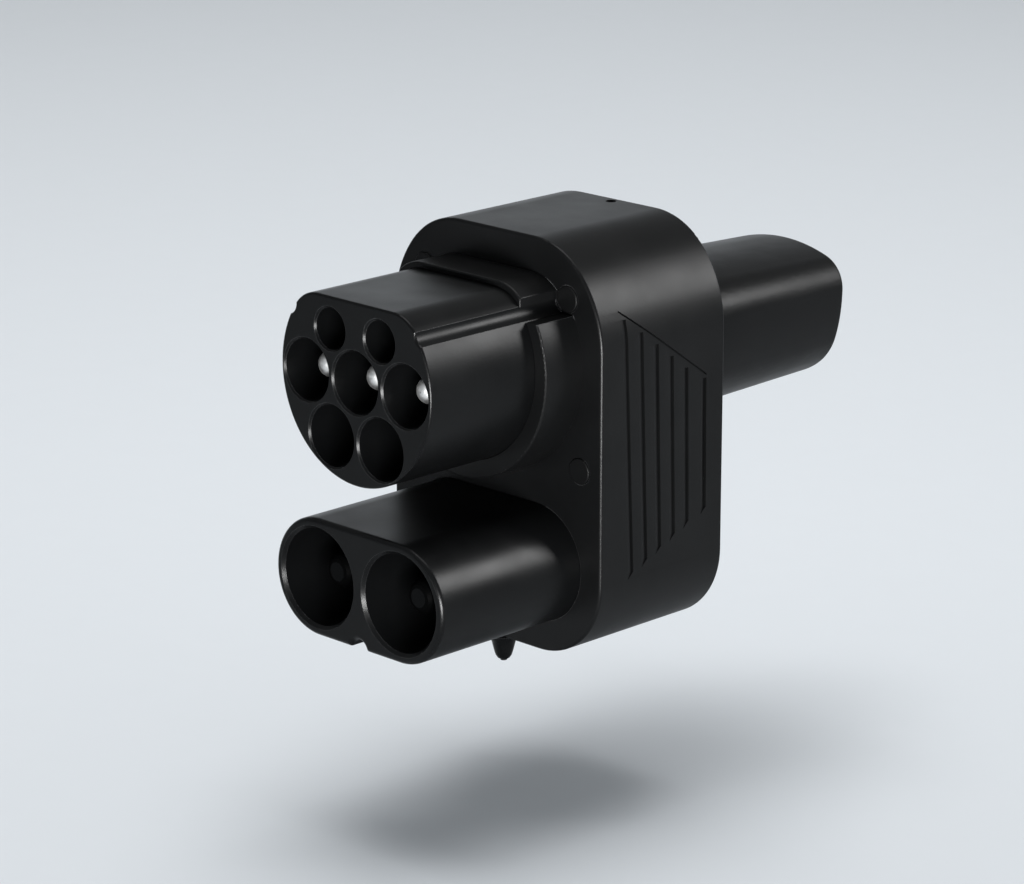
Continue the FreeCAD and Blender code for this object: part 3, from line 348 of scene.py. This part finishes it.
def plated_metal(name, colour, roughness, lines):
    """Plated or rolled metal with fine lines along one way and a faint cloud of tarnish."""
    material, tree, shader, place = new_material(name)
    streaks = noise(tree, stretched(tree, place, lines), 0.25 * MM, 3.0, 0.6)
    clouds = noise(tree, place, 3 * MM, 2.0)
    shade = shades(tree, remap(tree, clouds, 0.35, 0.75, 0.0, 1.0), colour, [c * 0.86 for c in colour])
    tree.links.new(shade, shader.inputs["Base Color"])
    shader.inputs["Metallic"].default_value = 1.0
    tree.links.new(remap(tree, streaks, 0.3, 0.7, roughness - 0.05, roughness + 0.07), shader.inputs["Roughness"])
    relief(tree, shader, streaks, 0.0015 * MM)
    return material


def soft_rubber(name):
    """Black seal rubber with a fine dusty skin."""
    material, tree, shader, place = new_material(name)
    fine = noise(tree, place, 0.18 * MM, 3.0)
    clouds = noise(tree, place, 4 * MM, 2.0)
    tree.links.new(shades(tree, clouds, (0.010, 0.010, 0.010), (0.024, 0.024, 0.023)), shader.inputs["Base Color"])
    tree.links.new(remap(tree, fine, 0.3, 0.7, 0.62, 0.76), shader.inputs["Roughness"])
    relief(tree, shader, fine, 0.008 * MM)
    return material


def filled_plastic(name):
    """Dark grey glass-filled plastic of the inner pieces, with short pale fibres."""
    material, tree, shader, place = new_material(name)
    fibres = noise(tree, stretched(tree, place, (1.0, 0.12, 1.0), (0.4, 0.3, 0.8)), 0.14 * MM, 2.0)
    clouds = noise(tree, place, 6 * MM, 3.0)
    tone = added(tree, clouds, remap(tree, fibres, 0.62, 0.72, 0.0, 1.0), 0.35)
    tree.links.new(shades(tree, tone, (0.030, 0.030, 0.032), (0.085, 0.085, 0.088)), shader.inputs["Base Color"])
    tree.links.new(remap(tree, fibres, 0.3, 0.7, 0.46, 0.60), shader.inputs["Roughness"])
    relief(tree, shader, fibres, 0.006 * MM)
    return material


def solder_mask(name):
    """Green board with copper tracks under the mask."""
    material, tree, shader, place = new_material(name)
    tracks = tree.nodes.new("ShaderNodeTexBrick")
    tracks.inputs["Scale"].default_value = 1.0
    tracks.inputs["Brick Width"].default_value = 3.1 * MM
    tracks.inputs["Row Height"].default_value = 0.9 * MM
    tracks.inputs["Mortar Size"].default_value = 0.16 * MM
    tracks.inputs["Mortar Smooth"].default_value = 0.1
    tracks.inputs["Color1"].default_value = (0.010, 0.070, 0.030, 1.0)
    tracks.inputs["Color2"].default_value = (0.012, 0.082, 0.036, 1.0)
    tracks.inputs["Mortar"].default_value = (0.030, 0.190, 0.075, 1.0)
    tree.links.new(stretched(tree, place, (1.0, 1.0, 1.0), (math.radians(90), 0.0, 0.0)), tracks.inputs["Vector"])
    tree.links.new(tracks.outputs["Color"], shader.inputs["Base Color"])
    weave = noise(tree, place, 0.4 * MM, 2.0)
    tree.links.new(remap(tree, weave, 0.3, 0.7, 0.20, 0.32), shader.inputs["Roughness"])
    relief(tree, shader, added(tree, weave, tracks.outputs["Fac"], 0.8), 0.010 * MM)
    return material


def smoothing():
    """Modifier group that joins a solid's triangles and shades it smooth up to its real edges."""
    group = bpy.data.node_groups.new("smooth_between_edges", "GeometryNodeTree")
    group.interface.new_socket("Geometry", in_out="INPUT", socket_type="NodeSocketGeometry")
    group.interface.new_socket("Geometry", in_out="OUTPUT", socket_type="NodeSocketGeometry")
    make = group.nodes.new
    start = make("NodeGroupInput")
    merge = make("GeometryNodeMergeByDistance")
    merge.inputs["Distance"].default_value = 0.002 * MM
    faces = make("GeometryNodeSetShadeSmooth")
    faces.domain = "FACE"
    edges = make("GeometryNodeSetShadeSmooth")
    edges.domain = "EDGE"
    edges.inputs["Shade Smooth"].default_value = False
    angle = make("GeometryNodeInputMeshEdgeAngle")
    sharp = make("FunctionNodeCompare")
    sharp.data_type = "FLOAT"
    sharp.operation = "GREATER_THAN"
    sharp.inputs["B"].default_value = math.radians(24)
    end = make("NodeGroupOutput")
    link = group.links.new
    link(start.outputs["Geometry"], merge.inputs["Geometry"])
    link(merge.outputs["Geometry"], faces.inputs["Geometry"])
    link(faces.outputs["Geometry"], edges.inputs["Geometry"])
    link(angle.outputs["Unsigned Angle"], sharp.inputs["A"])
    link(sharp.outputs["Result"], edges.inputs["Selection"])
    link(edges.outputs["Geometry"], end.inputs["Geometry"])
    return group


def dress(names, material):
    """Gives nodes their material, and smooth shading between their real edges."""
    group = bpy.data.node_groups.get("smooth_between_edges") or smoothing()
    for name in names:
        piece = nodes[name]
        piece.data.materials.clear()
        piece.data.materials.append(material)
        joined = piece.modifiers.new("joined", "NODES")
        joined.node_group = group
        weighted = piece.modifiers.new("weighted", "WEIGHTED_NORMAL")
        weighted.mode = "FACE_AREA_WITH_ANGLE"
        weighted.weight = 90
        weighted.keep_sharp = True


class ADAPTER_OT_mouldings(Operator):
    """Finishes the black mouldings: body, cover, wells, plug, screw plugs and spout"""

    bl_idname = "adapter.mouldings"
    bl_label = "Mouldings"

    def execute(self, context):
        finish = context.scene.adapter_finish
        body = finish.body_colour
        insert = finish.insert_colour
        # The edge highlight gains set how strongly each moulding's edges are painted paler as a highlight.
        dress(BODY, moulded_plastic("body_black", body, finish, rounding=1.3, edge_highlight_gain=2.4, mask=body_rims))
        dress(SCREW_PLUGS, moulded_plastic("stopper_black", [c * 0.75 for c in body], finish, roughness=0.08,
                                           rounding=0.4, edge_highlight_gain=0.2))
        dress(NOSE, moulded_plastic("nose_black", insert, finish, roughness=-0.04, grain=0.9, rounding=0.45,
                                    edge_highlight_gain=3.2, mask=off_the_joint))
        dress(DC_BLOCK, moulded_plastic("block_black", insert, finish, roughness=-0.04, grain=0.9, rounding=0.50,
                                        edge_highlight_gain=2.0, mask=off_the_joint))
        dress(PLUG, moulded_plastic("plug_black", insert, finish, roughness=0.02, grain=0.8))
        return {"FINISHED"}


class ADAPTER_OT_contacts(Operator):
    """Finishes the pins, their caps and the sockets"""

    bl_idname = "adapter.contacts"
    bl_label = "Contacts"

    def execute(self, context):
        finish = context.scene.adapter_finish
        dress(PINS + SOCKETS, plated_metal("silver_plating", finish.silver_colour, 0.42, (0.2, 1.0, 0.2)))
        dress(TIP_CAPS, tip_plastic("tip_black", finish.insert_colour, finish))
        return {"FINISHED"}


class ADAPTER_OT_inner(Operator):
    """Finishes what the body holds: bars, links, board, plates, seals and screws"""

    bl_idname = "adapter.inner"
    bl_label = "Inner pieces"

    def execute(self, context):
        finish = context.scene.adapter_finish
        dress(COPPER, plated_metal("rolled_copper", finish.copper_colour, 0.30, (1.0, 1.0, 0.08)))
        dress(STEEL, plated_metal("zinc_plating", (0.62, 0.62, 0.64), 0.34, (1.0, 0.2, 1.0)))
        dress(LOCK_SCREW, plated_metal("black_oxide", (0.05, 0.05, 0.053), 0.42, (1.0, 1.0, 0.2)))
        dress(RUBBER, soft_rubber("seal_rubber"))
        dress(INNER_PLASTIC, filled_plastic("inner_plastic"))
        dress(BOARD, solder_mask("board_green"))
        return {"FINISHED"}


def softbox(name, place, aim, size, power):
    """Rectangular lamp that looks at a point and isn't seen itself."""
    lamp = bpy.data.lights.new(name, "AREA")
    lamp.shape = "RECTANGLE"
    lamp.size, lamp.size_y = size
    lamp.energy = power
    stand = bpy.data.objects.new(name, lamp)
    bpy.context.scene.collection.objects.link(stand)
    stand.location = place
    stand.rotation_euler = (Vector(aim) - Vector(place)).to_track_quat("-Z", "Y").to_euler()
    stand.visible_camera = False
    return stand


class ADAPTER_OT_stage(Operator):
    """Sets the floor, backdrop, lamps and camera"""

    bl_idname = "adapter.stage"
    bl_label = "Studio"

    def execute(self, context):
        studio = context.scene.adapter_studio
        scene = context.scene
        scene.view_settings.view_transform = "Standard"
        floor = self.cyclorama(scene, studio)
        middle = (0.0, -0.012, -0.015)
        softbox("top_softbox", (-0.10, 0.10, 2.0), middle, (1.4, 1.4), studio.top_power)
        softbox("backdrop_lamp", (-1.2, 1.2, 1.0), (-2.6, 2.6, 0.5), (0.5, 0.5), studio.wall_power)
        all_but_floor = bpy.data.collections.new("all_but_the_floor")
        all_but_floor.objects.link(floor)
        all_but_floor.collection_objects[0].light_linking.link_state = "EXCLUDE"
        for lamp in (softbox("key_softbox", (1.13, 1.29, 0.82), middle, (0.5, 0.75), studio.key_power),
                     softbox("rim_softbox", (0.30, -0.30, -0.052), middle, (0.2, 0.10), studio.rim_power),
                     softbox("fill_softbox", (0.10, -1.30, 0.03), middle, (0.6, 0.20), studio.fill_power)):
            lamp.light_linking.receiver_collection = all_but_floor
        world = bpy.data.worlds.new("surround")
        world.use_nodes = True
        background = world.node_tree.nodes["Background"]
        background.inputs["Color"].default_value = (0.95, 0.98, 1.0, 1.0)
        background.inputs["Strength"].default_value = studio.sky_strength
        scene.world = world
        self.camera(scene, studio)
        return {"FINISHED"}

    def cyclorama(self, scene, studio):
        """Seamless round floor that turns up into a low wall on all sides."""
        wall_radius = 3.2
        corner = 1.2
        wall_top = 1.4
        steps_up = 12
        steps_round = 72
        shape = bmesh.new()
        line = [shape.verts.new((0.0, 0.0, 0.0))]
        for step in range(steps_up + 1):
            turn = math.radians(90.0) * step / steps_up
            out = wall_radius - corner + corner * math.sin(turn)
            line.append(shape.verts.new((out, 0.0, corner * (1.0 - math.cos(turn)))))
        line.append(shape.verts.new((wall_radius, 0.0, wall_top)))
        edges = [shape.edges.new(pair) for pair in zip(line, line[1:])]
        bmesh.ops.spin(shape, geom=line + edges, cent=(0.0, 0.0, 0.0), axis=(0.0, 0.0, 1.0), dvec=(0.0, 0.0, 0.0),
                       angle=math.tau, steps=steps_round, use_merge=True, use_duplicate=False)
        bmesh.ops.remove_doubles(shape, verts=shape.verts, dist=0.1 * MM)
        bmesh.ops.translate(shape, verts=shape.verts, vec=(0.0, 0.0, studio.floor_height))
        shape.normal_update()
        shape.faces.ensure_lookup_table()
        if shape.faces[0].normal.z < 0.0:
            bmesh.ops.reverse_faces(shape, faces=shape.faces)
        for face in shape.faces:
            face.smooth = True
        mesh = bpy.data.meshes.new("studio_floor")
        shape.to_mesh(mesh)
        shape.free()
        floor = bpy.data.objects.new("studio_floor", mesh)
        scene.collection.objects.link(floor)
        mesh.materials.append(self.paper(studio))
        return floor

    def paper(self, studio):
        """Matt paper of the floor and backdrop, with a painted pool of light: its colour is palest round the adapter
        and darker further out.
        """
        pool_radius = 1.3
        pool_centre = Vector((-0.12, 0.12, studio.floor_height))
        material, tree, shader, place = new_material("studio_paper")
        painted_light_pool = tree.nodes.new("ShaderNodeTexGradient")
        painted_light_pool.gradient_type = "SPHERICAL"
        spread = 1.0 / pool_radius
        centred = tree.nodes.new("ShaderNodeMapping")
        centred.inputs["Scale"].default_value = (spread, spread, spread)
        centred.inputs["Location"].default_value = -pool_centre * spread
        tree.links.new(place, centred.inputs["Vector"])
        tree.links.new(centred.outputs["Vector"], painted_light_pool.inputs["Vector"])
        fibres = noise(tree, place, 10 * MM, 2.0)
        # Painted pool of light: the paper is paler near the adapter and darker further out, with faint random fibres.
        tone = added(tree, painted_light_pool.outputs["Fac"], fibres, 0.05)
        colour = studio.floor_colour
        tree.links.new(shades(tree, tone, [c * 0.80 for c in colour], [c * 1.06 for c in colour]),
                       shader.inputs["Base Color"])
        shader.inputs["Roughness"].default_value = 0.9
        shader.inputs["Specular IOR Level"].default_value = 0.1
        return material

    def camera(self, scene, studio):
        """Camera at the photograph's angle."""
        data = bpy.data.cameras.new("studio_camera")
        data.lens = studio.lens
        data.sensor_width = 36.0
        data.clip_start = 0.01
        data.clip_end = 50.0
        camera = bpy.data.objects.new("studio_camera", data)
        scene.collection.objects.link(camera)
        camera.location = studio.camera_place
        flat = math.cos(studio.view_elevation)
        back = Vector((math.sin(studio.view_azimuth) * flat, -math.cos(studio.view_azimuth) * flat,
                       math.sin(studio.view_elevation)))
        camera.rotation_euler = (-back).to_track_quat("-Z", "Y").to_euler()
        scene.camera = camera


class ADAPTER_PT_panel(Panel):
    """Sizes, colours and steps of the adapter."""

    bl_idname = "ADAPTER_PT_panel"
    bl_label = "Charging adapter"
    bl_space_type = "VIEW_3D"
    bl_region_type = "UI"
    bl_category = "Adapter"

    def draw(self, context):
        layout = self.layout
        for settings in (context.scene.adapter_finish, context.scene.adapter_studio):
            box = layout.box()
            for name in settings.__annotations__:
                box.prop(settings, name)
        for step in steps:
            layout.operator(step.bl_idname)


steps = [ADAPTER_OT_mouldings, ADAPTER_OT_contacts, ADAPTER_OT_inner, ADAPTER_OT_stage]
classes = [AdapterFinish, AdapterStudio] + steps + [ADAPTER_PT_panel]


def register():
    for item in classes:
        bpy.utils.register_class(item)
    bpy.types.Scene.adapter_finish = PointerProperty(type=AdapterFinish)
    bpy.types.Scene.adapter_studio = PointerProperty(type=AdapterStudio)


def unregister():
    del bpy.types.Scene.adapter_studio
    del bpy.types.Scene.adapter_finish
    for item in reversed(classes):
        bpy.utils.unregister_class(item)


def main():
    register()
    bpy.ops.adapter.mouldings()
    bpy.ops.adapter.contacts()
    bpy.ops.adapter.inner()
    bpy.ops.adapter.stage()


if __name__ == "__main__":
    main()
